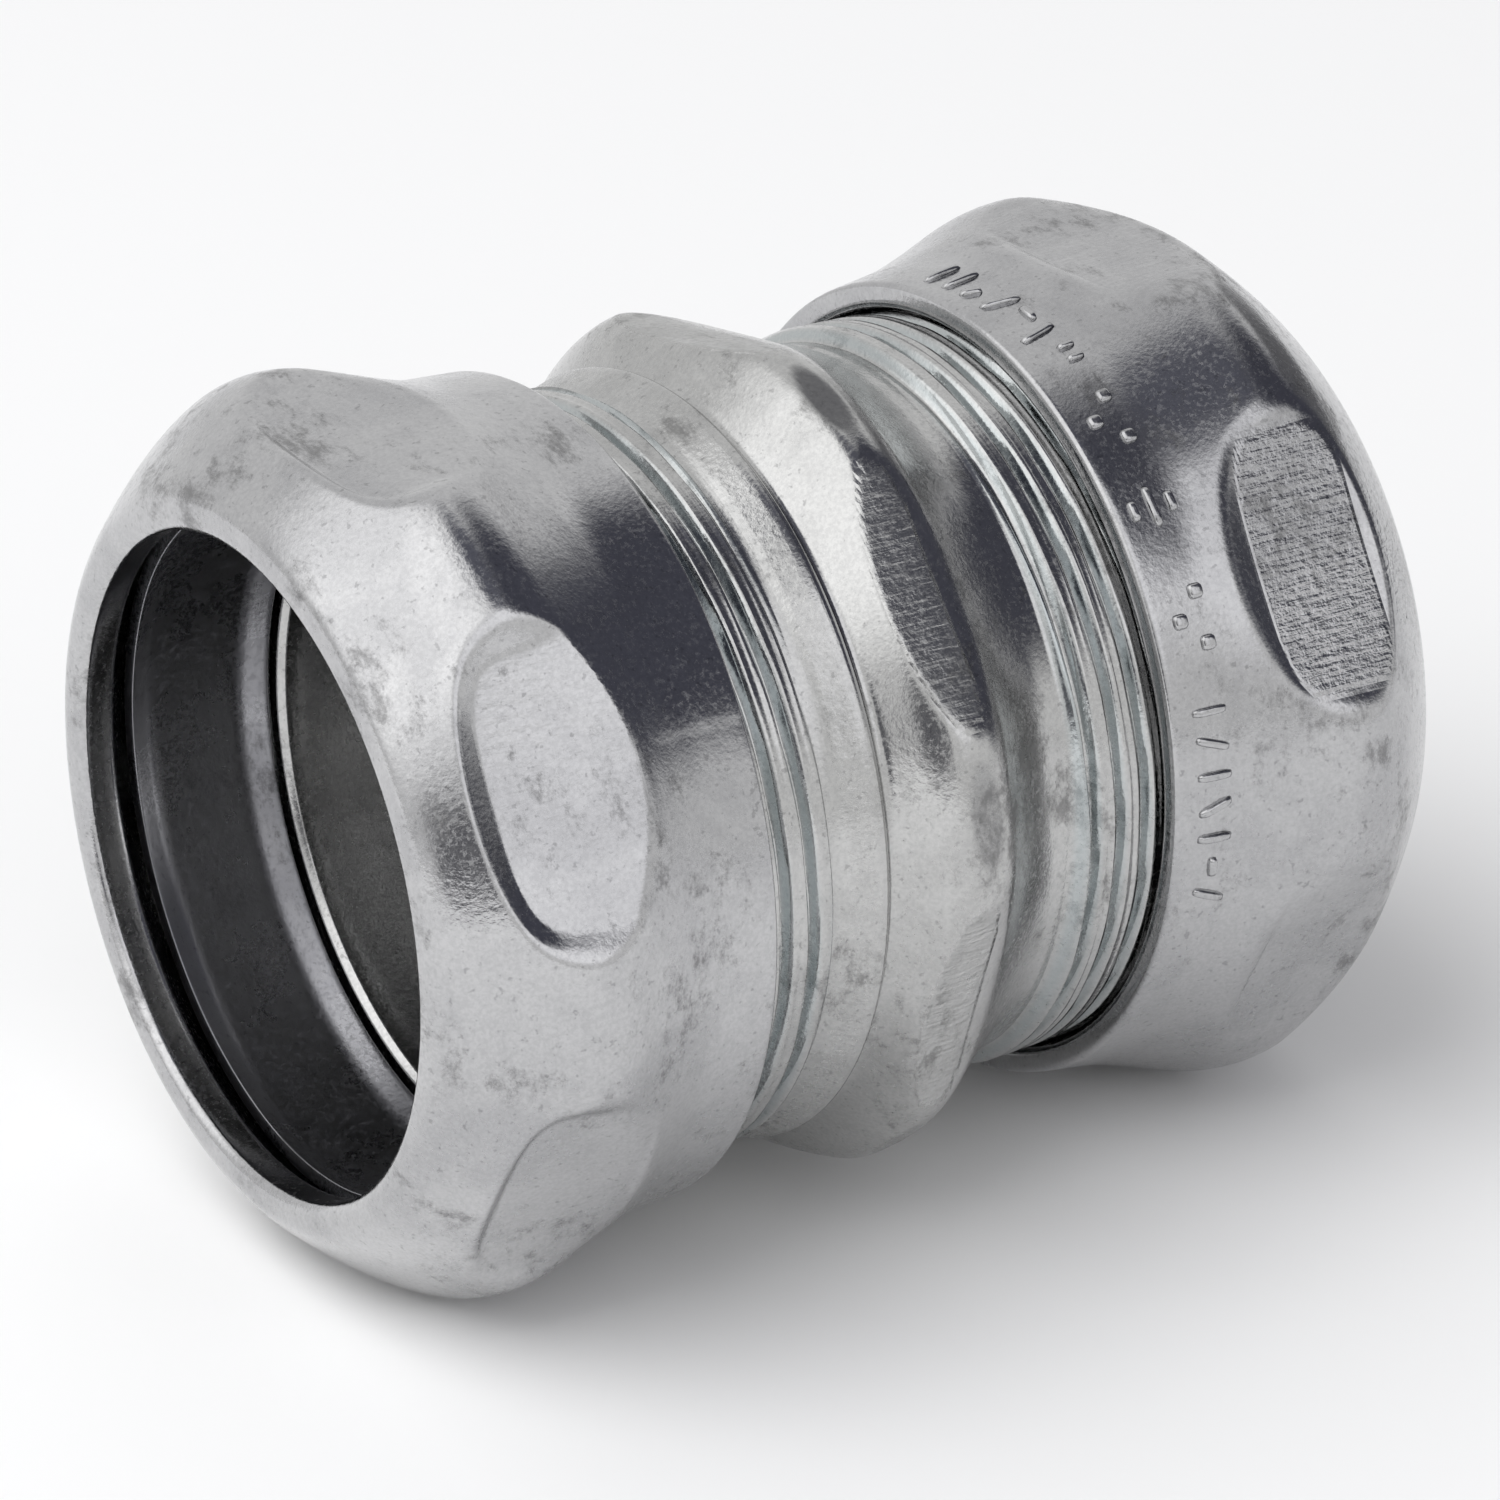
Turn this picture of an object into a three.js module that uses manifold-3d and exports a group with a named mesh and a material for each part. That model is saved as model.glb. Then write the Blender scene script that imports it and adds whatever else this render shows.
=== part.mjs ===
// Compression coupling for 1-1/4 inch thin-wall steel conduit.
//
// The fitting lies on its side. Its axis is X, +Z is up, and the origin is the middle of the
// fitting on the axis. A tubular body has a hexagon in its middle and an outside thread at each
// end. A nut is screwed over each thread, and a split compression ring sits inside each nut,
// between the nut's inner cone and the end of the body. Both ends are alike, so a nut or a ring
// is drawn once, from the outer end inward, and the right-hand pair is turned end for end.
// Lengths are in millimetres and angles in degrees.

import * as THREE from 'three';
import { mergeVertices } from 'three/addons/utils/BufferGeometryUtils.js';
import Module from 'manifold-3d';

const wasm = await Module();
wasm.setup();

// Driving dimensions

const CONDUIT_RADIUS = 19.175;
const HALF_LENGTH = 34.15;
const AROUND = 36;
const CORE_RADIUS = 12;
const PAST_THE_END = 1;

const THREAD_PITCH = 1.8;
const THREAD_TURNS = 6;
const THREAD_CREST = 22.4;
const THREAD_ROOT = 21.5;

const BODY_HALF_LENGTH = 20.7;
const BODY_BORE = CONDUIT_RADIUS + 0.275;
const BODY_CHAMFER = 0.4;
const BODY_NECK = 22.1;
const BODY_SHOULDER = 22.8;
const BODY_CROWN = 25.9;
const BODY_HEX_APOTHEM = 24.4;
const BODY_WALL = 2.2;
const BODY_HEX_TURN = -12;
const STOP_PLACE = -4.7;
const STOP_RADIUS = 18.5;

const NUT_LENGTH = 20.43;
const NUT_LIP_RADIUS = 19.65;
const NUT_LIP_LENGTH = 1.3;
const NUT_CAVITY = 23.2;
const NUT_THREAD_CREST = 22.75;
const NUT_THREAD_ROOT = 23.5;
const NUT_THREAD_TURNS = 3;
const NUT_HEX_APOTHEM = 25.8;
const NUT_WALL = 2.1;
const RIGHT_NUT_TURN = 3;

const RING_FRONT = 3.9;
const RING_BACK = 13.1;
const RING_BORE = 20.2;
const RING_HOLLOW = 0.9;
const RING_BEND = 1.6;
const RING_WALL = 1.2;
const RING_SPLIT = 3;
const RING_SPLIT_ANGLE = 140;

// Materials

function zincPlatedSteel(color, roughness) {
  return new THREE.MeshStandardMaterial({ color, roughness, metalness: 1 });
}

const formedZinc = zincPlatedSteel(0xa9a8aa, 0.34);
const threadedZinc = zincPlatedSteel(0xa09e98, 0.38);
const ringZinc = zincPlatedSteel(0x77777a, 0.42);

// Solids

function solid(geometry) {
  const bare = geometry.clone();
  bare.deleteAttribute('normal');
  bare.deleteAttribute('uv');
  const merged = mergeVertices(bare, 1e-5);
  return new wasm.Manifold(new wasm.Mesh({
    numProp: 3,
    vertProperties: new Float32Array(merged.attributes.position.array),
    triVerts: new Uint32Array(merged.index.array),
  }));
}

function geometryOf(manifold) {
  const { vertProperties, triVerts } = manifold.getMesh();
  const geometry = new THREE.BufferGeometry();
  geometry.setAttribute('position', new THREE.BufferAttribute(vertProperties, 3));
  geometry.setIndex(new THREE.BufferAttribute(triVerts, 1));
  geometry.computeVertexNormals();
  return geometry;
}

// Turns an outline round the X axis. The outline is a list of [place along X, radius] with X
// rising, and the solid runs from it in to a tube of the inner radius.
function turned(outline, innerRadius) {
  const points = outline.map(([along, radius]) => new THREE.Vector2(radius, along));
  const first = points[0];
  const last = points[points.length - 1];
  points.push(new THREE.Vector2(innerRadius, last.y));
  points.push(new THREE.Vector2(innerRadius, first.y));
  points.push(first.clone());
  const geometry = new THREE.LatheGeometry(points, AROUND);
  geometry.rotateZ(-Math.PI / 2);
  return solid(geometry);
}

// A hexagonal bar along X, with a flat facing up before it is turned about X.
function hexBar(apothem, turn) {
  const shape = new THREE.Shape();
  const corner = apothem / Math.cos(Math.PI / 6);
  for (let i = 0; i < 6; i += 1) {
    const angle = (i * Math.PI) / 3 + THREE.MathUtils.degToRad(turn);
    const place = [corner * Math.cos(angle), corner * Math.sin(angle)];
    if (i === 0) {
      shape.moveTo(...place);
    } else {
      shape.lineTo(...place);
    }
  }
  const depth = 4 * HALF_LENGTH;
  const geometry = new THREE.ExtrudeGeometry(shape, { depth, bevelEnabled: false });
  geometry.translate(0, 0, -depth / 2);
  const depthAlongX = new THREE.Matrix4().makeBasis(
    new THREE.Vector3(0, 1, 0),
    new THREE.Vector3(0, 0, 1),
    new THREE.Vector3(1, 0, 0),
  );
  geometry.applyMatrix4(depthAlongX);
  return solid(geometry);
}

// A smooth curve through the given [place along X, radius] points.
function smooth(points, pieces) {
  const curve = new THREE.SplineCurve(points.map(([x, y]) => new THREE.Vector2(x, y)));
  return curve.getPoints(pieces).map((point) => [point.x, point.y]);
}

// A run of V threads from one place to another, as rings side by side: root, crest, root.
function threads(start, turns, root, crest) {
  const outline = [];
  for (let i = 0; i < turns; i += 1) {
    outline.push([start + i * THREAD_PITCH, root]);
    outline.push([start + (i + 0.5) * THREAD_PITCH, crest]);
  }
  outline.push([start + turns * THREAD_PITCH, root]);
  return outline;
}

// Coupling body: a steel tube with its middle swelled and pressed to a hexagon, a stop bead
// rolled inward beside the hexagon, and a thread rolled on each end.

function couplingBody() {
  const threadStart = BODY_HALF_LENGTH - BODY_CHAMFER - THREAD_TURNS * THREAD_PITCH;
  const threadBase = threadStart - THREAD_PITCH / 2;
  const outside = turned([
    [-BODY_HALF_LENGTH, THREAD_ROOT - BODY_CHAMFER],
    ...threads(-threadStart - THREAD_TURNS * THREAD_PITCH, THREAD_TURNS, THREAD_ROOT, THREAD_CREST),
    ...smooth([
      [-threadBase, BODY_NECK],
      [-7.4, BODY_SHOULDER],
      [-5.8, BODY_SHOULDER],
      [STOP_PLACE, BODY_NECK],
      [-3.6, BODY_SHOULDER + 1.2],
      [-2.4, BODY_CROWN - 0.7],
      [0, BODY_CROWN],
      [2.3, BODY_CROWN - 0.7],
      [5.2, BODY_SHOULDER + 0.6],
      [threadBase, BODY_NECK],
    ], 26),
    ...threads(threadStart, THREAD_TURNS, THREAD_ROOT, THREAD_CREST),
    [BODY_HALF_LENGTH, THREAD_ROOT - BODY_CHAMFER],
  ], CORE_RADIUS);
  const inside = turned([
    [-BODY_HALF_LENGTH - PAST_THE_END, BODY_BORE + BODY_CHAMFER + PAST_THE_END],
    [-BODY_HALF_LENGTH + BODY_CHAMFER, BODY_BORE],
    [STOP_PLACE - 1.5, BODY_BORE],
    [STOP_PLACE - 0.4, STOP_RADIUS],
    [STOP_PLACE + 0.4, STOP_RADIUS],
    ...smooth([
      [STOP_PLACE + 1.3, BODY_BORE],
      [-1.8, BODY_CROWN - BODY_WALL - 0.8],
      [0.2, BODY_CROWN - BODY_WALL],
      [1.8, BODY_CROWN - BODY_WALL - 0.8],
      [4.6, BODY_BORE],
    ], 10),
    [BODY_HALF_LENGTH - BODY_CHAMFER, BODY_BORE],
    [BODY_HALF_LENGTH + PAST_THE_END, BODY_BORE + BODY_CHAMFER + PAST_THE_END],
  ], CORE_RADIUS - 1);
  const outerHex = hexBar(BODY_HEX_APOTHEM, BODY_HEX_TURN);
  const innerHex = hexBar(BODY_HEX_APOTHEM - BODY_WALL, BODY_HEX_TURN);
  return outside.intersect(outerHex).subtract(inside.intersect(innerHex));
}

// Compression nut: a drawn steel shell with a flat lip round the conduit hole, an inner cone
// behind the lip, a swelled belt pressed to a hexagon, and a skirt with an inside thread.

function compressionNut(turn) {
  const outside = turned([
    [0, NUT_LIP_RADIUS + 1.6],
    [0.5, NUT_LIP_RADIUS + 2.6],
    ...smooth([
      [1, 22.75],
      [5, 26.2],
      [8.3, 27.4],
      [13, 25.9],
      [16.6, 24.95],
      [NUT_LENGTH - 0.4, 24.9],
    ], 16),
    [NUT_LENGTH, 24.5],
  ], CORE_RADIUS);
  const threadStart = NUT_LENGTH - 0.7 - NUT_THREAD_TURNS * THREAD_PITCH;
  const cone = NUT_LIP_LENGTH + NUT_CAVITY - NUT_LIP_RADIUS;
  const inside = turned([
    [-PAST_THE_END, NUT_LIP_RADIUS + 0.2 + PAST_THE_END],
    [0.2, NUT_LIP_RADIUS],
    [NUT_LIP_LENGTH, NUT_LIP_RADIUS],
    [cone, NUT_CAVITY],
    ...smooth([
      [cone + 1.5, 24.3],
      [8.3, 25.2],
      [11.5, 24.4],
      [threadStart - 0.6, NUT_THREAD_CREST],
    ], 6),
    ...threads(threadStart, NUT_THREAD_TURNS, NUT_THREAD_CREST, NUT_THREAD_ROOT),
    [NUT_LENGTH + PAST_THE_END, NUT_THREAD_CREST + 0.7 + PAST_THE_END],
  ], CORE_RADIUS - 1);
  const outerHex = hexBar(NUT_HEX_APOTHEM, turn);
  const innerHex = hexBar(NUT_HEX_APOTHEM - NUT_WALL, turn);
  return outside.intersect(outerHex).subtract(inside.intersect(innerHex));
}

// Compression ring: spring-steel strip rolled to a ring and left open at one place. It is
// hollow along its middle, so that only its two edges grip the conduit.

function compressionRing() {
  const bends = [
    [RING_FRONT, RING_BORE],
    [RING_FRONT + RING_BEND, RING_BORE + RING_HOLLOW],
    [RING_BACK - RING_BEND, RING_BORE + RING_HOLLOW],
    [RING_BACK, RING_BORE],
  ];
  const outside = turned(bends.map(([along, radius]) => [along, radius + RING_WALL]), CORE_RADIUS);
  const inside = turned([
    [RING_FRONT - PAST_THE_END, RING_BORE],
    ...bends,
    [RING_BACK + PAST_THE_END, RING_BORE],
  ], CORE_RADIUS - 1);
  const gap = new THREE.BoxGeometry(2 * RING_BACK, RING_SPLIT, RING_BORE);
  gap.translate(0, 0, RING_BORE + RING_WALL);
  gap.rotateX(THREE.MathUtils.degToRad(RING_SPLIT_ANGLE - 90));
  return outside.subtract(inside).subtract(solid(gap));
}

// The fitting

function piece(name, manifold, material) {
  const mesh = new THREE.Mesh(geometryOf(manifold), material);
  mesh.name = name;
  return mesh;
}

const leftEnd = new THREE.Group();
leftEnd.position.x = -HALF_LENGTH;
leftEnd.add(piece('left_compression_nut', compressionNut(0), formedZinc));
leftEnd.add(piece('left_compression_ring', compressionRing(), ringZinc));

const rightEnd = new THREE.Group();
rightEnd.position.x = HALF_LENGTH;
rightEnd.rotation.z = Math.PI;
rightEnd.add(piece('right_compression_nut', compressionNut(RIGHT_NUT_TURN), formedZinc));
rightEnd.add(piece('right_compression_ring', compressionRing(), ringZinc));

const group = new THREE.Group();
group.add(piece('coupling_body', couplingBody(), threadedZinc));
group.add(leftEnd, rightEnd);

export default group;
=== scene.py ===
import math

import bpy
import numpy as np
from mathutils import Matrix, Vector


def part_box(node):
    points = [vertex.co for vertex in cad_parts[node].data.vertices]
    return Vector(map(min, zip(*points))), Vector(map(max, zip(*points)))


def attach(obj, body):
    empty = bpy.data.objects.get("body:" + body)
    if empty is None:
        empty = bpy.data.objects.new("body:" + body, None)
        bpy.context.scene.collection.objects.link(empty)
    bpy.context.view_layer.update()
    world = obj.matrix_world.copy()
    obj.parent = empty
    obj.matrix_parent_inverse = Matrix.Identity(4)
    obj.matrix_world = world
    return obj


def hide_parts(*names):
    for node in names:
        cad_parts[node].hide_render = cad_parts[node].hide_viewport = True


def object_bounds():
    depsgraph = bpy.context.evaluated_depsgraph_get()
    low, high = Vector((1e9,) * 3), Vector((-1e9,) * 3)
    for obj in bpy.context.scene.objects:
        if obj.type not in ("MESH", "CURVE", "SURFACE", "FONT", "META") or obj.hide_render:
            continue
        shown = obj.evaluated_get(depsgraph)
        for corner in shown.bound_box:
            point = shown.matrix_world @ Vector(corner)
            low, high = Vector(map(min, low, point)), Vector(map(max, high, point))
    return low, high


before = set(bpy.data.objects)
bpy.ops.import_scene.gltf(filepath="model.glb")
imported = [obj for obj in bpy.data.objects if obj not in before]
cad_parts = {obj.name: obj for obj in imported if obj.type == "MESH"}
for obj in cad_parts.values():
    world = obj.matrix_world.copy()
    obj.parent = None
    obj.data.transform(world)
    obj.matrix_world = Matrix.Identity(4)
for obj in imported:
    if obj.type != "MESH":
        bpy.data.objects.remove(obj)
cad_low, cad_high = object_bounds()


# ---------------------------------------------------------------------------------------
# Camera. It looks down on the left-hand end of the fitting with a long lens, and leans a
# little to one side.

AZIMUTH = math.radians(-33.2)
ELEVATION = math.radians(26.33)
LEAN = math.radians(0.87)
DISTANCE = 0.3964
AIM = Vector((0.0, -0.0005, -0.0009))
SENSOR_WIDTH = 36.0
FOCAL_LENGTH = 160.4

camera = bpy.data.objects.new("camera", bpy.data.cameras.new("camera"))
bpy.context.scene.collection.objects.link(camera)
bpy.context.scene.camera = camera
camera.data.sensor_width = SENSOR_WIDTH
camera.data.lens = FOCAL_LENGTH
back = Vector((
    math.sin(AZIMUTH) * math.cos(ELEVATION),
    -math.cos(AZIMUTH) * math.cos(ELEVATION),
    math.sin(ELEVATION),
))
camera.rotation_mode = "QUATERNION"
camera.location = AIM + back * DISTANCE
lean = Matrix.Rotation(LEAN, 3, "Z").to_quaternion()
camera.rotation_quaternion = (-back).to_track_quat("-Z", "Y") @ lean


# ---------------------------------------------------------------------------------------
# Coupling body. A length of steel tube: its middle is swelled in a die and pressed to six
# flats, a stop bead is rolled inward beside them, and a thread is rolled on each end. It is
# zinc plated with a clear chromate, which shows faintly blue in the threads.

MM = 0.001
body_low, body_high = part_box("coupling_body")
BODY_END = body_high.x / MM
BODY_BORE = 19.45
PARTING_RADIUS = 20.6

THREAD_PITCH = 1.8
THREAD_STARTS = 2
THREAD_LEAD = THREAD_PITCH * THREAD_STARTS
THREAD_ROOT = 21.5
THREAD_CREST = 22.38
THREAD_INNER_END = 8.3
THREAD_RUNOUT = 0.4
LEFT_THREAD_PHASE = 0.77
RIGHT_THREAD_PHASE = 0.4
LEFT_SEAM = 0.32
RIGHT_SEAM = 0.28
SEAM_DEPTH = 0.35

BODY_FLAT_TURN = math.radians(138)
BODY_FLAT_APOTHEM = 24.55
BODY_FLAT_MIDDLE = -1.0
BODY_FLAT_HALF_LONG = 2.1
BODY_FLAT_HALF_WIDE = 8.1
BODY_INNER_APOTHEM = 22.2
CORNER_RUB = 0.19
FAR_OUT = 99.0
MOST_WORN_ANGLE = math.radians(108)

AROUND_BODY = 330
BODY_STEP = 0.195


def outline(corners, step):
    """Rounded outline through a closed list of corners (along, radius, cut, step factor).
    Each corner is replaced by the parabola that leaves both sides at the cut distance, or
    half way along a side where that is shorter, and the straights and parabolas are divided
    into pieces of about the given step times the factor of the corner they start from."""
    points = np.array([corner[:2] for corner in corners], float)
    cuts = np.array([corner[2] for corner in corners], float)
    factors = np.array([corner[3] if len(corner) > 3 else 1.0 for corner in corners])
    ahead = np.roll(points, -1, axis=0) - points
    length = np.linalg.norm(ahead, axis=1)
    unit = ahead / length[:, None]
    leave = np.minimum(cuts, length / 2)
    arrive = np.minimum(cuts, np.roll(length, 1) / 2)
    rows = []
    for k in range(len(points)):
        start = points[k] - np.roll(unit, 1, axis=0)[k] * arrive[k]
        end = points[k] + unit[k] * leave[k]
        bend = arrive[k] + leave[k]
        count = max(2, int(np.ceil(bend / (step * factors[k]))))
        s = np.linspace(0, 1, count, endpoint=False)[:, None]
        rows.append((1 - s) ** 2 * start + 2 * s * (1 - s) * points[k] + s ** 2 * end)
        following = (k + 1) % len(points)
        far = points[following] - unit[k] * arrive[following]
        run = np.linalg.norm(far - end)
        if run > 0.01:
            count = int(np.ceil(run / (step * factors[k])))
            s = np.linspace(0, 1, count, endpoint=False)[:, None]
            rows.append((1 - s) * end + s * far)
    return np.concatenate(rows)


def smooth_step(low, high, value):
    """0 at low, 1 at high, and 3t^2 - 2t^3 between them, where low may be above high."""
    t = np.clip((value - low) / (high - low), 0, 1)
    return t * t * (3 - 2 * t)


def lower_of(a, b, blend):
    """The lower of a and b, rounded with a parabola where they come within blend."""
    near = np.clip(blend - np.abs(a - b), 0, None) / blend
    return np.minimum(a, b) - near * near * blend / 4


def round_axis(columns):
    """Evenly spaced angles round the X axis, from +Y towards +Z."""
    return np.arange(columns) * 2 * np.pi / columns


def from_middle(angle, turn):
    """The angle from the middle of the nearest of six flats, one of which is at the turn."""
    return (angle - turn + np.pi / 6) % (np.pi / 3) - np.pi / 6


def press_flats(along, radius, angle, turn, middle, half_long, half_wide, apothem,
                tilt=0.0, dish=0.0, soft=0.25, firm=1.6, blend=0.12, rim=0.0):
    """Presses six flats into a round swelling. Round the axis the nearest flat is d away, so
    the surface stands radius * cos(d) over the flat's plane. A flat is the inside of a
    rounded rectangle, |x/half_long|^4 + |s/half_wide|^4 < 1, at its apothem, with a tilt
    along the axis and a dish across it. Outside the rectangle the die's wall climbs away,
    softly towards the low end of along and firmly towards the high end, where the metal
    that is pushed aside also stands up as a rim. The surface is the lower of the swelling
    and the die. Also returns how much of a flat each point is, from 0 to 1."""
    d = from_middle(angle, turn)
    height = radius * np.cos(d)
    x = (along - middle) / half_long
    s = radius * np.sin(d) / half_wide
    out = (x ** 4 + s ** 4) ** 0.25
    climb = soft + (firm - soft) * smooth_step(-0.6, 0.5, x)
    height = height + rim * np.exp(-((out - 1.08) / 0.13) ** 2) * smooth_step(-0.1, 0.7, x)
    die = apothem + tilt * (along - middle) + dish * (s * s - 0.5)
    die = die + climb * half_long * np.clip(out - 1, 0, None)
    pressed = lower_of(height, die, blend) / np.cos(d)
    inside = smooth_step(1.04, 0.97, out) * smooth_step(-0.02, 0.1, height - die)
    return pressed, inside


def screw_thread(along, angle, low, high, phase, seam):
    """Height of a rolled two-start thread, 0 at its root and 1 at its crest. The place in the
    thread is (along - lead * angle / turn - phase) / pitch. The flanks are straight with
    rounded corners, and the thread fades out over most of a pitch at each end of its length.
    Also returns the depth of the seam along the crest where the rolled metal meets."""
    place = (along - THREAD_LEAD * angle / (2 * np.pi) - phase) / THREAD_PITCH
    from_crest = np.abs((place % 1.0) - 0.5) * 2
    tooth = smooth_step(0.12, 0.5, 1 - from_crest)
    groove = np.exp(-(from_crest / 0.16) ** 2)
    fade = smooth_step(low - 0.3, low + 0.9, along) * smooth_step(high + 0.1, high - 0.7, along)
    return tooth * fade, groove * seam * fade


def skin(name, along, radius, angle, joined=True):
    """A smooth mesh over a grid: each point is at a place along the X axis, a distance from
    it and an angle round it, in mm, and a four-sided face lies between neighbours. The grid's
    rows close on themselves. Its columns do too, unless joined is False: then one flat face
    closes each end."""
    place = np.stack(np.broadcast_arrays(along, radius * np.cos(angle), radius * np.sin(angle)), axis=-1)
    rows, columns = radius.shape
    across = np.arange(columns if joined else columns - 1)
    j, i = np.meshgrid(np.arange(rows), across, indexing="ij")
    down = (j + 1) % rows
    right = (i + 1) % columns
    faces = np.stack([
        j * columns + i,
        j * columns + right,
        down * columns + right,
        down * columns + i,
    ], axis=-1)
    polygons = faces.reshape(-1, 4).tolist()
    if not joined:
        first = np.arange(rows) * columns
        polygons.append(first.tolist())
        polygons.append((first + columns - 1)[::-1].tolist())
    return smooth_piece(name, place.reshape(-1, 3) * MM, polygons)


def smooth_piece(name, vertices, polygons):
    """Puts a mesh of the given places, in metres, and faces into the scene."""
    mesh = bpy.data.meshes.new(name)
    mesh.from_pydata(vertices.tolist(), [], polygons)
    mesh.update()
    mesh.polygons.foreach_set("use_smooth", np.ones(len(polygons), bool))
    piece = bpy.data.objects.new(name, mesh)
    bpy.context.scene.collection.objects.link(piece)
    return piece


def paint(piece, name, values):
    """Keeps one number for each vertex under a name, for the piece's material to read."""
    layer = piece.data.attributes.new(name, "FLOAT", "POINT")
    layer.data.foreach_set("value", values.astype(np.float32).ravel())


# The outline runs along the outside from the left end to the right, over the shoulder, the
# groove of the stop bead and the swelled middle, and comes back along the bore.
body_outline = outline([
    (-BODY_END, 21.2, 0.25),
    (-BODY_END + 0.5, THREAD_ROOT, 0.2),
    (-THREAD_INNER_END, THREAD_ROOT + 0.5, 0.4),
    (-5.45, 23.45, 0.5, 1.2),
    (-4.85, 22.5, 0.25, 1.0),
    (-4.4, 22.65, 0.35, 1.2),
    (-2.5, 24.9, 1.0, 1.3),
    (-0.9, 26.15, 1.2, 1.4),
    (1.3, 25.8, 1.3, 1.4),
    (3.4, 23.9, 1.6, 1.8),
    (6.2, 22.3, 2.0, 2.0),
    (THREAD_INNER_END, THREAD_ROOT + 0.4, 0.5),
    (BODY_END - 0.5, THREAD_ROOT, 0.2),
    (BODY_END, 21.2, 0.25),
    (BODY_END, BODY_BORE + 0.4, 0.08),
    (BODY_END - 0.4, BODY_BORE, 0.1, 8),
    (4.8, BODY_BORE, 1.0, 3),
    (2.3, 23.6, 1.4, 3),
    (-1.9, 23.8, 1.4, 3),
    (-3.2, 19.9, 0.8, 3),
    (-4.3, 18.5, 0.5, 3),
    (-5.2, 18.5, 0.5, 3),
    (-6.0, BODY_BORE, 0.5, 8),
    (-BODY_END + 0.4, BODY_BORE, 0.1),
    (-BODY_END, BODY_BORE + 0.4, 0.08),
], BODY_STEP)
body_angle = round_axis(AROUND_BODY)[None, :]
body_along = body_outline[:, :1]
body_radius = body_outline[:, 1:] * np.ones_like(body_angle)
outside = body_radius > PARTING_RADIUS

left_tooth, left_seam = screw_thread(
    body_along, body_angle, -BODY_END - THREAD_RUNOUT, -THREAD_INNER_END,
    LEFT_THREAD_PHASE, LEFT_SEAM)
right_tooth, right_seam = screw_thread(
    body_along, body_angle, THREAD_INNER_END, BODY_END + THREAD_RUNOUT,
    RIGHT_THREAD_PHASE, RIGHT_SEAM)
thread_height = (left_tooth + right_tooth) * outside
seam_depth = (left_seam + right_seam) * outside * SEAM_DEPTH
body_radius = body_radius + (THREAD_CREST - THREAD_ROOT) * (thread_height - seam_depth)

# Handling rubs the six corners between the flats to slightly flat ovals: a plane across each
# corner cuts the swelling's crest by the rub.
from_corner = from_middle(body_angle, BODY_FLAT_TURN + np.pi / 6)
swelling = np.broadcast_to(np.abs(body_along) < 5, body_radius.shape)
crest = body_radius[swelling].max()
corner = (crest - CORNER_RUB) / np.cos(from_corner)
worn = smooth_step(-0.06, 0.06, body_radius - corner)
rubbed = lower_of(body_radius, corner, 0.03)
outer_wall, body_flat = press_flats(
    body_along, rubbed, body_angle, BODY_FLAT_TURN, BODY_FLAT_MIDDLE,
    BODY_FLAT_HALF_LONG, BODY_FLAT_HALF_WIDE, BODY_FLAT_APOTHEM,
    tilt=-0.03, dish=0.12, soft=0.9, firm=0.3, blend=0.3)

# Behind each flat the wall falls away to the right-hand thread as a plane that levels out:
# apothem - 0.5 (x - 1.1) + 0.06 (x - 3)^2, with the square from x = 3 on.
past_flat = np.clip(body_along - 3, 0, None)
behind_flat = BODY_FLAT_APOTHEM - 0.5 * (body_along - 1.1) + 0.06 * past_flat ** 2
behind_flat = np.where(body_along > -2, behind_flat, FAR_OUT)
behind_flat = behind_flat / np.cos(from_middle(body_angle, BODY_FLAT_TURN))
outer_wall = lower_of(outer_wall, behind_flat, 1.0)
outer_wall = np.where(body_along < 7, np.maximum(outer_wall, THREAD_ROOT), body_radius)
body_radius = np.where(outside, outer_wall, body_radius)
inner_wall, _ = press_flats(
    body_along, body_radius, body_angle, BODY_FLAT_TURN, -0.85, 2.2, 8.2, BODY_INNER_APOTHEM)
body_radius = np.where(outside, body_radius, inner_wall)

body = skin("coupling_body_shell", body_along, body_radius, body_angle)

# The press marks its flats, and lightly the shoulder between the left-hand thread and the
# groove of the bead. The rubbed ovals are painted most strongly near one corner.
shoulder = smooth_step(-7.8, -7.2, body_along) * smooth_step(-5.7, -6.2, body_along) * outside
body_flat = body_flat * smooth_step(1.9, 1.1, body_along) * outside
most_worn = np.exp(-((body_angle - MOST_WORN_ANGLE) / math.radians(20)) ** 2)
paint(body, "flat", np.maximum(body_flat, 0.5 * shoulder))
paint(body, "worn", worn * (1 - body_flat) * (0.35 + 0.65 * most_worn))
paint(body, "thread", thread_height)
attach(body, "coupling")
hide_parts("coupling_body")


def linear(hex_colour):
    """sRGB hex to linear: (c + 0.055)/1.055 to the power 2.4, or c/12.92 where it is dark."""
    values = np.array([int(hex_colour[k:k + 2], 16) / 255 for k in (1, 3, 5)])
    bright = ((values + 0.055) / 1.055) ** 2.4
    return (*np.where(values > 0.04045, bright, values / 12.92), 1.0)


def add(tree, kind, inputs=None, output=0, **settings):
    """Adds a node with its settings and returns one of its outputs. An input that is the
    output of another node is linked to it, and any other is set."""
    node = tree.nodes.new("ShaderNode" + kind)
    for key, value in settings.items():
        setattr(node, key, value)
    for key, value in (inputs or {}).items():
        if isinstance(value, bpy.types.NodeSocket):
            tree.links.new(value, node.inputs[key])
        else:
            node.inputs[key].default_value = value
    return node.outputs[output]


SCUFF_GREY = "#4E4D4D"
SPECK_GREY = "#4A4A4C"
GRAIN_GREY = "#8E8E90"
RUBBED_GREY = "#6C6C6E"
CHROMATE_BLUE = "#B3BFC2"


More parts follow.
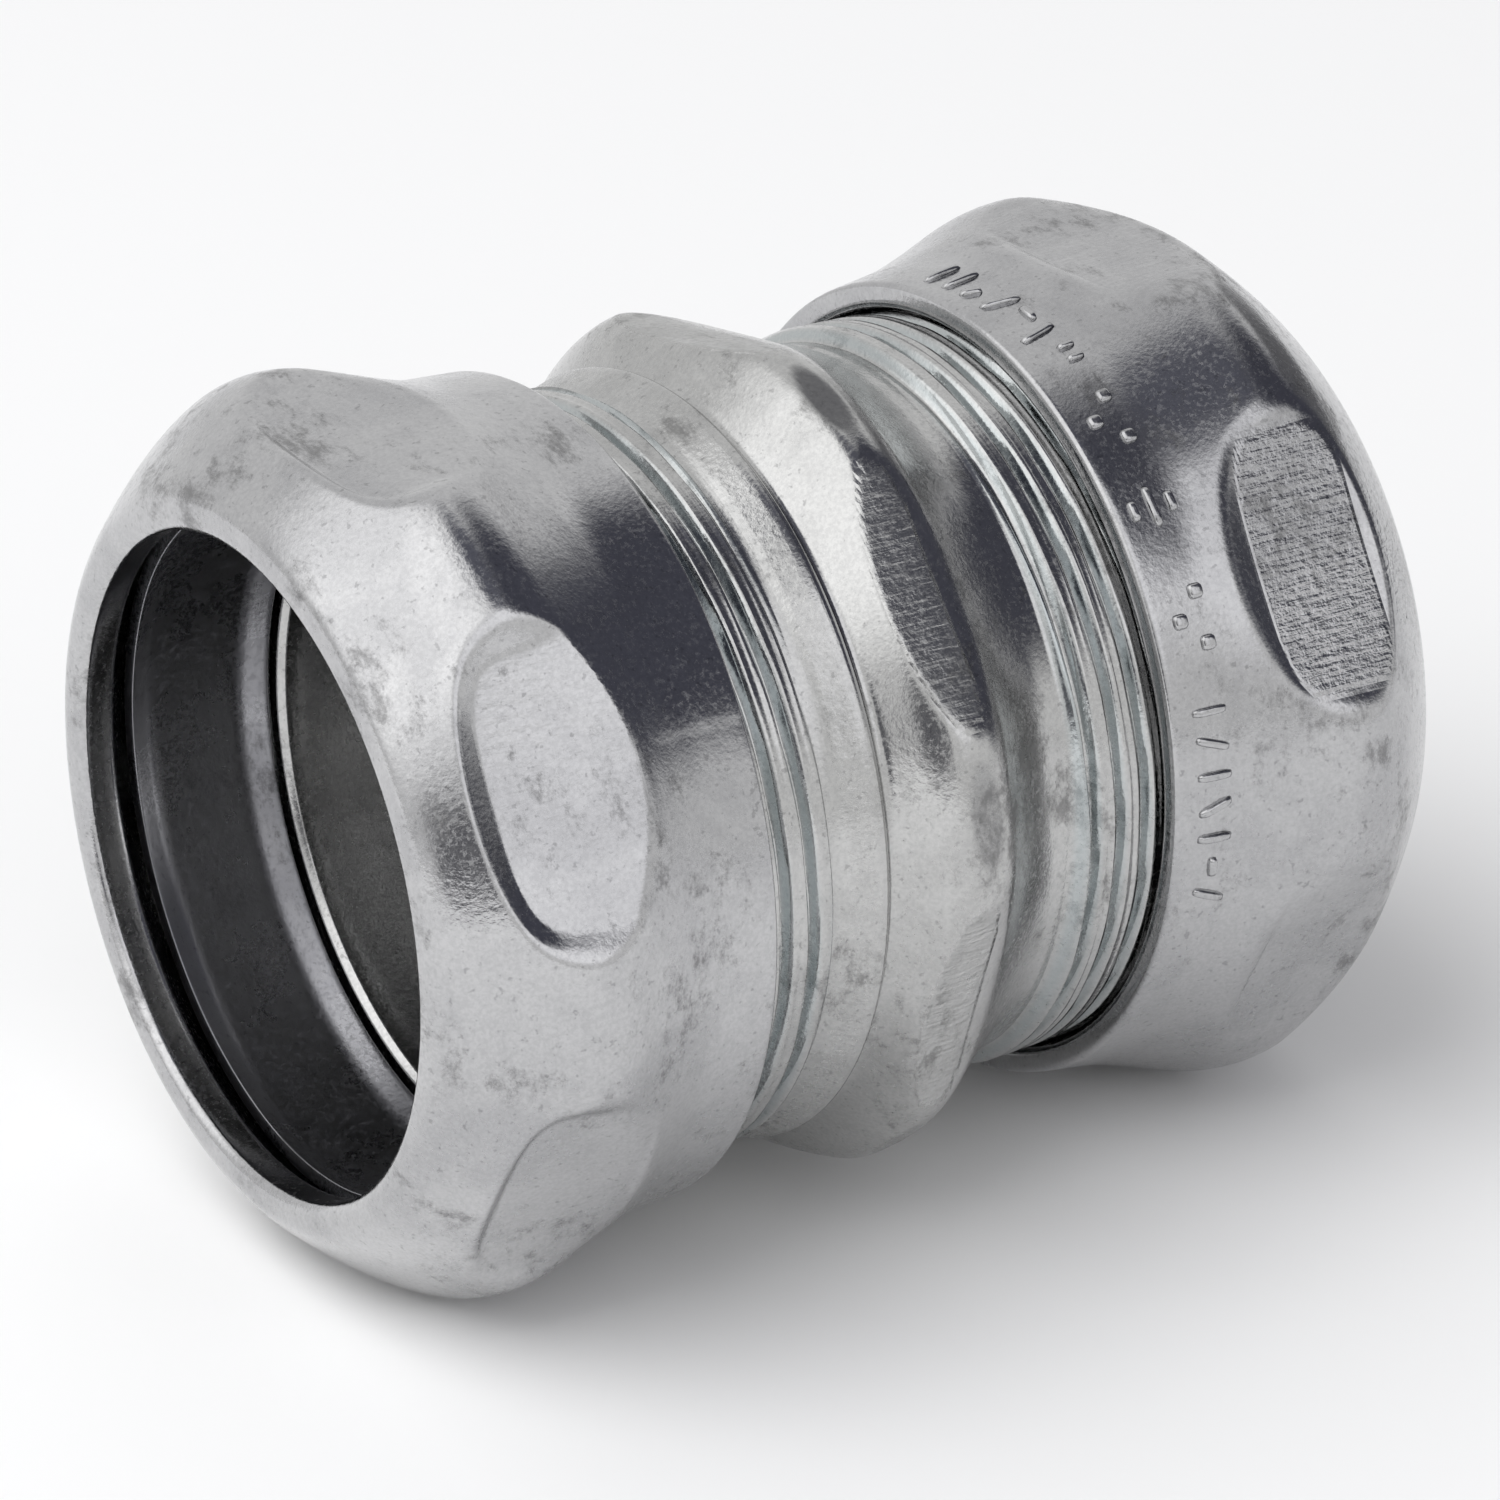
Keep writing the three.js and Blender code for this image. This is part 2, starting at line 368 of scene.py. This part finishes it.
def zinc_plate(name, clean, dull, gloss=0.10, matt=0.17, press=0.012, hatch=0.35, matt_flat=0.0):
    """Electroplated zinc on formed steel. The plate is bright but not polished: the steel's
    grain shows through as a fine stipple that makes reflections sparkle at their edges, and
    handling leaves duller smudges and dark scuffs. Where the piece is painted flat, the press
    leaves pits and fine lines along the axis, press mm deep, the lines hatch times as strong
    as the pits, and adds matt_flat to the roughness. Where it is painted worn, the plate is
    rubbed grey, and the chromate shows blue on the flanks of a painted thread. The grain of
    real plate is finer than 0.2 mm and is drawn at about 0.3 mm, so that it shows."""
    material = bpy.data.materials.new(name)
    material.use_nodes = True
    tree = material.node_tree
    place = add(tree, "TexCoord", output="Object")
    flat = add(tree, "Attribute", output="Fac", attribute_name="flat")
    worn = add(tree, "Attribute", output="Fac", attribute_name="worn")
    thread = add(tree, "Attribute", output="Fac", attribute_name="thread")

    # Each noise has the size of its grains in mm, how far they are stretched along X, Y and
    # Z, its detail, its roughness and its distortion.
    noise = {}
    for key, size, stretch, detail, roughness, distortion in (
        ("smudge", 7.0, (1, 1, 1), 6.0, 0.65, 0.3),
        ("patch", 8.0, (1, 1, 1), 2.0, 0.55, 0.0),
        ("streak", 1.5, (1.0, 2.2, 1.4), 8.0, 0.78, 0.0),
        ("pepper", 0.26, (1, 1, 1), 3.0, 0.7, 0.0),
        ("specks", 0.45, (1, 1, 1), 2.0, 0.55, 0.0),
        ("grains", 0.33, (1, 1, 1), 3.0, 0.7, 0.0),
        ("swell", 4.5, (1, 1, 1), 1.0, 0.55, 0.0),
        ("dimple", 0.9, (1, 1, 1), 3.0, 0.55, 0.0),
        ("stipple", 0.28, (1, 1, 1), 3.0, 0.6, 0.0),
        ("rolling", 0.5, (1.0, 12.0, 12.0), 3.0, 0.55, 0.0),
        ("lines", 0.38, (16.0, 1.0, 1.0), 2.0, 0.55, 0.0),
        ("pits", 0.65, (1, 1, 1), 4.0, 0.65, 0.0),
    ):
        squeeze = tuple(1 / factor for factor in stretch)
        noise[key] = add(tree, "TexNoise", {
            "Vector": add(tree, "Mapping", {"Vector": place, "Scale": squeeze}),
            "Scale": 1 / (size * MM),
            "Detail": detail,
            "Roughness": roughness,
            "Distortion": distortion,
        })
    scuffs = add(tree, "Math", {
        0: noise["patch"], 1: 0.7, 2: noise["streak"],
    }, operation="MULTIPLY_ADD")

    # Each kind of mark covers the plate where its noise is high, with a soft edge.
    share = {}
    for key, value, low, high in (
        ("smudge", noise["smudge"], 0.40, 0.65),
        ("pepper", noise["pepper"], 0.35, 0.65),
        ("specks", noise["specks"], 0.63, 0.72),
        ("scuffs", scuffs, 0.90, 1.10),
        ("grains", noise["grains"], 0.50, 0.62),
    ):
        share[key] = add(tree, "MapRange", {
            "Value": value, "From Min": low, "From Max": high,
        }, interpolation_type="SMOOTHSTEP")
    above_root = add(tree, "Math", {0: 1.0, 1: thread}, operation="SUBTRACT")
    flank = add(tree, "Math", {0: thread, 1: above_root}, operation="MULTIPLY")

    tint = linear(clean)
    for covered, most, colour in (
        (share["smudge"], 0.6, dull),
        (share["pepper"], 0.24, GRAIN_GREY),
        (share["specks"], 0.30, SPECK_GREY),
        (share["scuffs"], 0.55, SCUFF_GREY),
        (worn, 0.95, RUBBED_GREY),
        (flank, 1.6, CHROMATE_BLUE),
    ):
        tint = add(tree, "Mix", {
            0: add(tree, "Math", {0: covered, 1: most}, operation="MULTIPLY"),
            6: tint,
            7: linear(colour),
        }, output=2, data_type="RGBA")

    rough = add(tree, "MapRange", {
        "Value": noise["smudge"], "From Min": 0.35, "From Max": 0.7, "To Min": gloss, "To Max": matt,
    }, interpolation_type="SMOOTHSTEP")
    for covered, most in (
        (share["scuffs"], 0.15), (worn, 0.15), (share["grains"], 0.14), (flat, matt_flat),
    ):
        rough = add(tree, "Math", {0: covered, 1: most, 2: rough}, operation="MULTIPLY_ADD")

    pressed = add(tree, "Math", {
        0: noise["lines"], 1: hatch, 2: noise["pits"],
    }, operation="MULTIPLY_ADD")
    pressed = add(tree, "Math", {0: pressed, 1: flat}, operation="MULTIPLY")
    under = {}
    for height, depth in (
        (noise["swell"], 0.030), (noise["dimple"], 0.012), (noise["stipple"], 0.013),
        (noise["rolling"], 0.0022), (pressed, press),
    ):
        relief = {"Height": height, "Distance": depth * MM, "Strength": 1.0}
        under = {"Normal": add(tree, "Bump", {**relief, **under})}

    surface = tree.nodes["Principled BSDF"]
    for socket, value in (("Base Color", tint), ("Roughness", rough), ("Normal", under["Normal"])):
        tree.links.new(value, surface.inputs[socket])
    surface.inputs["Metallic"].default_value = 1.0
    return material


# Zinc plate with a clear chromate on swelled tube. It is a pale warm grey, and the die has
# left its flats matt and hatched.
body_plate = zinc_plate("zinc_plate_with_clear_chromate", "#C5C5C4", "#AFAFAE",
                        press=0.09, hatch=0.9, matt_flat=0.17)
body.data.materials.append(body_plate)


# ---------------------------------------------------------------------------------------
# Compression rings. Each is spring-steel strip rolled to a ring and left open at one place,
# hollow along its middle so that its two edges grip the conduit. A ring lies loose inside
# each nut, with its back edge against the end of the body.

RING_BORE = 20.2
RING_HOLLOW = 0.9
RING_WALL = 1.15
RING_BEND = 1.6
RING_SPLIT = 3.0
AROUND_RING = 300
RING_STEP = 0.3
LEFT_RING_SPLIT = math.radians(140)
RIGHT_RING_SPLIT = math.radians(40)


def compression_ring(name, node, body_name, split):
    """The outline of the bent strip's wall is carried round the axis, from one side of the
    split to the other. The strip isn't quite round: its radius rises and falls by 0.02 mm
    five times round the ring, and by 0.012 mm thirteen times."""
    low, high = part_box(node)
    front, rear = low.x / MM, high.x / MM
    hollow = RING_BORE + RING_HOLLOW
    strip = outline([
        (front, RING_BORE, 0.12),
        (front + RING_BEND, hollow, 0.5),
        (rear - RING_BEND, hollow, 0.5),
        (rear, RING_BORE, 0.12),
        (rear, RING_BORE + RING_WALL, 0.25),
        (rear - RING_BEND, hollow + RING_WALL, 0.6),
        (front + RING_BEND, hollow + RING_WALL, 0.6),
        (front, RING_BORE + RING_WALL, 0.25),
    ], RING_STEP)[::-1]
    half_gap = RING_SPLIT / 2 / RING_BORE
    angle = np.linspace(split + half_gap, split + 2 * np.pi - half_gap, AROUND_RING)
    ripple = 0.02 * np.sin(5 * angle) + 0.012 * np.sin(13 * angle + 1)
    ring = skin(name, strip[:, :1], strip[:, 1:] + ripple, angle, joined=False)
    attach(ring, body_name)
    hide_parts(node)
    return ring


# Zinc plate on rolled spring strip, which is duller than the plate outside. Its colour is also darker,
# and that darkening is painted shade for the ring's place deep inside the nut.
ring_plate_with_painted_shade = zinc_plate("dull_zinc_on_spring_strip_with_painted_shade", "#9C9CA0", "#8A8A8F", gloss=0.25, matt=0.35)
for name, node, body_name, split in (
    ("left_ring_strip", "left_compression_ring", "left_ring", LEFT_RING_SPLIT),
    ("right_ring_strip", "right_compression_ring", "right_ring", RIGHT_RING_SPLIT),
):
    ring = compression_ring(name, node, body_name, split)
    ring.data.materials.append(ring_plate_with_painted_shade)


# ---------------------------------------------------------------------------------------
# Compression nuts. Each is drawn from steel sheet into a shell and zinc plated: a lip round
# the conduit's hole, a cone that closes the ring, a swelled belt pressed to six flats for a
# wrench, and a skirt with an inside thread. The press struck the two nuts a little unlike.

NUT_LENGTH = 20.43
BELT_DEPTH = 8.3
LIP_RADIUS = 19.65
SKIRT_DEPTH = 16.1
SKIRT_RADIUS = 25.02
SKIRT_MIDDLE_RADIUS = 24.88
NUT_WALL = 1.3
FLAT_HALF_WIDE = 8.0
STRUCK_ANGLE = math.radians(30)
AROUND_NUT = 480
NUT_STEP = 0.21

LEFT_NUT = {
    "flat_turn": math.radians(150),
    "seam_turn": math.radians(147.5),
    "taper": 0.24,
    "apothem": 24.88,
    "tilt": 0.31,
    "middle": 8.5,
    "half_long": 4.0,
    "soft": 0.80,
    "firm": 0.55,
    "blend": 0.16,
}
RIGHT_NUT = {
    "flat_turn": math.radians(147),
    "seam_turn": math.radians(-60),
    "taper": 0.60,
    "apothem": 25.2,
    "tilt": -0.12,
    "middle": 9.0,
    "half_long": 3.5,
    "soft": 0.30,
    "firm": 0.50,
    "blend": 0.32,
}


def compression_nut(name, node, body_name, facing, shape):
    """The nut's outline runs by depth behind the lip, from the lip out over the belt to the
    skirt, which narrows by its taper, and back inside. Facing is 1 where depth runs towards
    +X and -1 where it runs the other way. The flats are pressed with the shape's apothem,
    tilt, middle, half length, soft and firm walls and blend. The one at flat_turn is struck
    hardest, as exp(-(angle from it / 30 degrees)^2), and the others are shallower, nearer to
    level and rounder. The inside is pressed to match, the skirt's inside is cut with the
    body's two-start thread, and a seam in the sheet steps down by 0.03 mm on the skirt and
    fades away to both sides."""
    low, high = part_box(node)
    lip = low.x / MM if facing > 0 else high.x / MM
    loop = outline([
        (0.45, LIP_RADIUS + 0.02, 0.2),
        (0.0, LIP_RADIUS + 0.5, 0.3),
        (0.0, 21.5, 0.55),
        (0.75, 22.5, 0.6),
        (2.7, 24.3, 1.2),
        (5.4, 26.45, 2.2),
        (BELT_DEPTH, 27.68, 3.0),
        (12.7, 26.02, 2.6),
        (SKIRT_DEPTH, SKIRT_RADIUS, 1.1),
        (NUT_LENGTH, SKIRT_RADIUS - shape["taper"], 0.4, 0.8),
        (NUT_LENGTH, 23.1, 0.35),
        (NUT_LENGTH - 0.6, 22.75, 0.2),
        (14.3, 22.8, 0.6),
        (12.6, 23.6, 1.2, 3),
        (9.0, 25.5, 2.0, 3),
        (5.4, 24.1, 1.4, 3),
        (2.3, LIP_RADIUS + 0.15, 0.3, 3),
    ], NUT_STEP)
    depth = loop[:, :1]
    angle = round_axis(AROUND_NUT)[None, :]
    radius = loop[:, 1:] * np.ones_like(angle)
    row = np.arange(len(loop))[:, None]
    inner = row > np.argmax(depth)
    outer = ~inner & (radius > 21.3)

    struck = np.exp(-((angle - shape["flat_turn"]) / STRUCK_ANGLE) ** 2)
    place_and_walls = {key: shape[key] for key in ("middle", "half_long", "soft", "firm")}
    outer_wall, flat = press_flats(
        depth, radius, angle, shape["flat_turn"], half_wide=FLAT_HALF_WIDE,
        apothem=shape["apothem"] + 0.35 * (1 - struck),
        tilt=shape["tilt"] * (0.55 + 0.45 * struck), dish=0.15,
        blend=shape["blend"] + 0.45 * (1 - struck), rim=0.03 * struck, **place_and_walls)
    inner_wall, _ = press_flats(
        depth, radius, angle, shape["flat_turn"], half_wide=FLAT_HALF_WIDE,
        apothem=shape["apothem"] - NUT_WALL, tilt=0.6 * shape["tilt"], blend=0.5,
        **place_and_walls)
    radius = np.where(outer, outer_wall, np.where(inner, inner_wall, radius))

    place = (depth - 1.0 - facing * THREAD_LEAD * angle / (2 * np.pi)) / THREAD_PITCH
    cut = smooth_step(0.2, 0.6, 1 - np.abs((place % 1.0) - 0.5) * 2)
    inside_skirt = inner & (radius < 23.4) & (depth > 14.5)
    reach = smooth_step(14.5, 15.4, depth) * smooth_step(NUT_LENGTH - 0.5, NUT_LENGTH - 1.1, depth)
    radius = radius + np.where(inside_skirt, 0.75 * cut * reach, 0)

    from_seam = (angle - shape["seam_turn"] + np.pi) % (2 * np.pi) - np.pi
    step = smooth_step(-0.006, 0.006, from_seam) * np.exp(-(from_seam / 0.35) ** 2)
    radius = radius - 0.03 * step * smooth_step(13.5, 15.0, depth) * outer

    # The cone in front of the struck flat is scraped by the die, and is painted as a flat.
    from_scrape = angle - shape["flat_turn"] - math.radians(6)
    scraped = smooth_step(0.7, 1.6, depth) * smooth_step(5.0, 3.6, depth)
    scraped = scraped * np.exp(-(from_scrape / math.radians(13)) ** 2)
    painted = np.maximum(flat * (0.25 + 0.75 * struck), 0.8 * scraped) * outer

    # Where the depth runs towards -X, the rows are taken in the other order, so that the
    # faces still point outwards.
    along = lip + facing * depth
    nut = skin(name, along[::facing], radius[::facing], angle)
    paint(nut, "flat", painted[::facing])
    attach(nut, body_name)
    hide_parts(node)
    return nut


# Bright zinc plate on drawn steel. The left nut's flats are smooth, with fine lines along
# the axis, and the right nut's are coarse and wrinkled, so they glint in small patches.
left_plate = zinc_plate("bright_zinc_plate_on_drawn_steel", "#C4C4C5", "#ADADAF",
                        press=0.016, hatch=1.8)
right_plate = zinc_plate("bright_zinc_plate_pressed_rough", "#BEBEBF", "#A8A8AA",
                         press=0.14, hatch=0.9)
left_nut = compression_nut("left_nut_shell", "left_compression_nut", "left_nut", 1, LEFT_NUT)
left_nut.data.materials.append(left_plate)
right_nut = compression_nut("right_nut_shell", "right_compression_nut", "right_nut", -1, RIGHT_NUT)
right_nut.data.materials.append(right_plate)


# ---------------------------------------------------------------------------------------
# Raised marks. They are pressed out of the steel of the right nut's skirt before it is
# plated, as plain bars and dots in groups round its upper front.

MARK_HEIGHT = 0.30
MARK_DEPTH = 17.9
MARK_SINK = 0.1
MARK_FOOT = 0.2
MARK_RINGS = 5
MARK_SPOKES = 20


def raised_marks(name, marks):
    """One mesh of low pillows. Each mark is (place round the skirt in degrees, place from the
    middle of the band in mm, length, width, lean in degrees). The plan of a pillow is the
    rounded rectangle |u|^4 + |v|^4 = 1. At a share t of the way out to that edge it stands
    height * (1 - t^5) - sink * t^12 over the skirt, so that its edge is sunk in the steel,
    and it closes at one point on top and one at its foot, below the skirt."""
    turn, offset, length, width, lean = np.array(marks, float).T[:, :, None, None]
    t = np.linspace(0.2, 1, MARK_RINGS)[:, None]
    spoke = round_axis(MARK_SPOKES)
    edge = (np.cos(spoke) ** 4 + np.sin(spoke) ** 4) ** -0.25
    u = t * np.cos(spoke) * edge * length / 2
    v = t * np.sin(spoke) * edge * width / 2
    tip = np.radians(lean)
    across = u * np.cos(tip) - v * np.sin(tip)
    depth = MARK_DEPTH + offset + u * np.sin(tip) + v * np.cos(tip)
    taper = RIGHT_NUT["taper"] / (NUT_LENGTH - SKIRT_DEPTH)
    skirt = SKIRT_RADIUS - taper * (depth - SKIRT_DEPTH)
    angle = np.radians(turn) + across / SKIRT_MIDDLE_RADIUS
    radius = skirt + MARK_HEIGHT * (1 - t ** 5) - MARK_SINK * t ** 12
    top_radius = skirt[:, 0].mean(axis=1) + MARK_HEIGHT
    foot_radius = skirt[:, -1].mean(axis=1) - MARK_FOOT

    grid = (len(marks), MARK_RINGS * MARK_SPOKES)
    ends = (len(marks), 2)
    depth = np.hstack([depth.reshape(grid), np.broadcast_to((MARK_DEPTH + offset)[:, 0], ends)])
    angle = np.hstack([angle.reshape(grid), np.broadcast_to(np.radians(turn)[:, 0], ends)])
    radius = np.hstack([radius.reshape(grid), top_radius[:, None], foot_radius[:, None]])
    along = cad_high.x / MM - depth
    place = np.stack([along, radius * np.cos(angle), radius * np.sin(angle)], axis=-1)

    k = np.arange(MARK_SPOKES)
    following = (k + 1) % MARK_SPOKES
    top = np.full_like(k, MARK_RINGS * MARK_SPOKES)
    ring = np.arange(MARK_RINGS - 1)[:, None] * MARK_SPOKES
    outer_ring = (MARK_RINGS - 1) * MARK_SPOKES
    crown = np.stack([top, following, k], axis=-1)
    sides = np.stack([
        ring + k, ring + following, ring + MARK_SPOKES + following, ring + MARK_SPOKES + k,
    ], axis=-1).reshape(-1, 4)
    foot = np.stack([outer_ring + k, outer_ring + following, top + 1], axis=-1)
    polygons = []
    for first in range(0, place.shape[0] * place.shape[1], place.shape[1]):
        for faces in (crown, sides, foot):
            polygons += (faces + first).tolist()
    return smooth_piece(name, place.reshape(-1, 3) * MM, polygons)


marks = [
    (80, 0.0, 0.6, 2.8, 0),
    (84.5, 0.0, 0.6, 2.8, 0),
    (89, 0.6, 0.6, 1.5, 25),
    (94, 0.0, 0.6, 2.8, 12),
    (98.5, -0.6, 1.6, 0.6, 0),
    (103, 0.0, 0.6, 2.8, -12),
    (107, -0.8, 0.5, 1.2, 0),
    (109.5, -0.8, 0.5, 1.2, 0),
    (134.5, 0.0, 2.8, 0.6, 0),
    (134.5, 1.2, 1.4, 0.6, 0),
    (134.5, -1.2, 1.4, 0.6, 0),
    (163, 0.0, 0.6, 2.4, 0),
    (167.5, 0.0, 0.6, 2.4, 20),
    (172, 0.0, 0.6, 2.4, 0),
    (176.5, 0.0, 0.6, 2.4, -20),
    (181, 0.0, 0.6, 2.4, 0),
    (185.5, 0.0, 1.4, 0.6, 0),
    (190, 0.0, 0.6, 2.4, 20),
]
# Two groups of three dots.
for middle in (120.5, 150.5):
    for turn, offset in ((-3.5, -0.7), (0, 0.7), (3.5, -0.7)):
        marks.append((middle + turn, offset, 1.0, 1.0, 0))

pressed_marks = raised_marks("right_nut_marks", marks)
pressed_marks.data.materials.append(right_plate)
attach(pressed_marks, "right_nut")
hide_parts("right_compression_nut")


# ---------------------------------------------------------------------------------------
# Studio. A pale floor, a large overhead light that the metal doesn't mirror, and a soft
# surround that it does: pale all round, brightest high on the left, with dim gaps high on
# the right, overhead and near the floor.

FLOOR_REACH = 1.0


def pale_floor():
    """A square of floor at the fitting's lowest point, two metres each way."""
    corners = [
        (x * FLOOR_REACH, y * FLOOR_REACH, cad_low.z)
        for x, y in ((-1, -1), (1, -1), (1, 1), (-1, 1))
    ]
    mesh = bpy.data.meshes.new("floor")
    mesh.from_pydata(corners, [], [(0, 1, 2, 3)])
    floor = bpy.data.objects.new("floor", mesh)
    bpy.context.scene.collection.objects.link(floor)
    return floor


# Matt white paper, uncoated, so that it gives the metal a soft shadow and no shine.
paper = bpy.data.materials.new("matt_white_paper")
paper.use_nodes = True
paper_surface = paper.node_tree.nodes["Principled BSDF"]
paper_surface.inputs["Base Color"].default_value = linear("#F4F4F4")
paper_surface.inputs["Roughness"].default_value = 0.9
paper_surface.inputs["Specular IOR Level"].default_value = 0.1
floor = pale_floor()
floor.data.materials.append(paper)

OVERHEAD_WIDTH = 1.0
OVERHEAD_POWER = 6.2
OVERHEAD_PLACE = (-0.70, -0.12, 0.85)

overhead = bpy.data.objects.new("overhead", bpy.data.lights.new("overhead", "AREA"))
overhead.data.shape = "DISK"
overhead.data.size = OVERHEAD_WIDTH
overhead.data.energy = OVERHEAD_POWER
overhead.location = OVERHEAD_PLACE
overhead.visible_glossy = False
overhead.visible_camera = False
bpy.context.scene.collection.objects.link(overhead)

SURROUND_GREY = 0.82
BACKDROP_GREY = 0.95


def surround():
    """The surround's colour in a direction starts pale and goes towards each patch's colour
    inside that patch, which is a soft-edged circle (azimuth, elevation, radius, edge, tint,
    brightness) with its angles in degrees. Azimuth 0 is +X and 90 is +Y. The camera sees a
    plain pale backdrop instead."""
    world = bpy.data.worlds.new("surround")
    bpy.context.scene.world = world
    world.use_nodes = True
    tree = world.node_tree
    direction = add(tree, "TexCoord", output="Generated")
    colour = (SURROUND_GREY, SURROUND_GREY, SURROUND_GREY, 1.0)
    for azimuth, elevation, radius, edge, tint, brightness in (
        (172, 46, 30, 12, (1.0, 1.0, 1.0), 1.55),
        (-94, 44, 24, 10, (1.0, 1.0, 1.02), 1.20),
        (-80, 84, 15, 7, (0.86, 0.88, 1.08), 0.16),
        (18, 4, 18, 8, (1.0, 1.0, 1.05), 0.16),
        (-146, 9, 10, 6, (0.95, 0.95, 1.05), 0.15),
        (-4, 16, 18, 7, (0.90, 0.92, 1.12), 0.10),
        (-22, 46, 30, 8, (0.90, 0.92, 1.18), 0.09),
    ):
        a, e = math.radians(azimuth), math.radians(elevation)
        middle = (math.cos(a) * math.cos(e), math.sin(a) * math.cos(e), math.sin(e))
        nearness = add(tree, "VectorMath", {
            0: direction, 1: middle,
        }, output="Value", operation="DOT_PRODUCT")
        share = add(tree, "MapRange", {
            "Value": nearness,
            "From Min": math.cos(math.radians(radius + edge)),
            "From Max": math.cos(math.radians(radius - edge)),
        }, interpolation_type="SMOOTHSTEP")
        patch = (*(channel * brightness for channel in tint), 1.0)
        colour = add(tree, "Mix", {0: share, 6: colour, 7: patch}, output=2, data_type="RGBA")
    seen = add(tree, "LightPath", output="Is Camera Ray")
    backdrop = (BACKDROP_GREY, BACKDROP_GREY, BACKDROP_GREY, 1.0)
    colour = add(tree, "Mix", {0: seen, 6: colour, 7: backdrop}, output=2, data_type="RGBA")
    tree.links.new(colour, tree.nodes["Background"].inputs["Color"])


surround()
bpy.context.scene.view_settings.view_transform = "Standard"
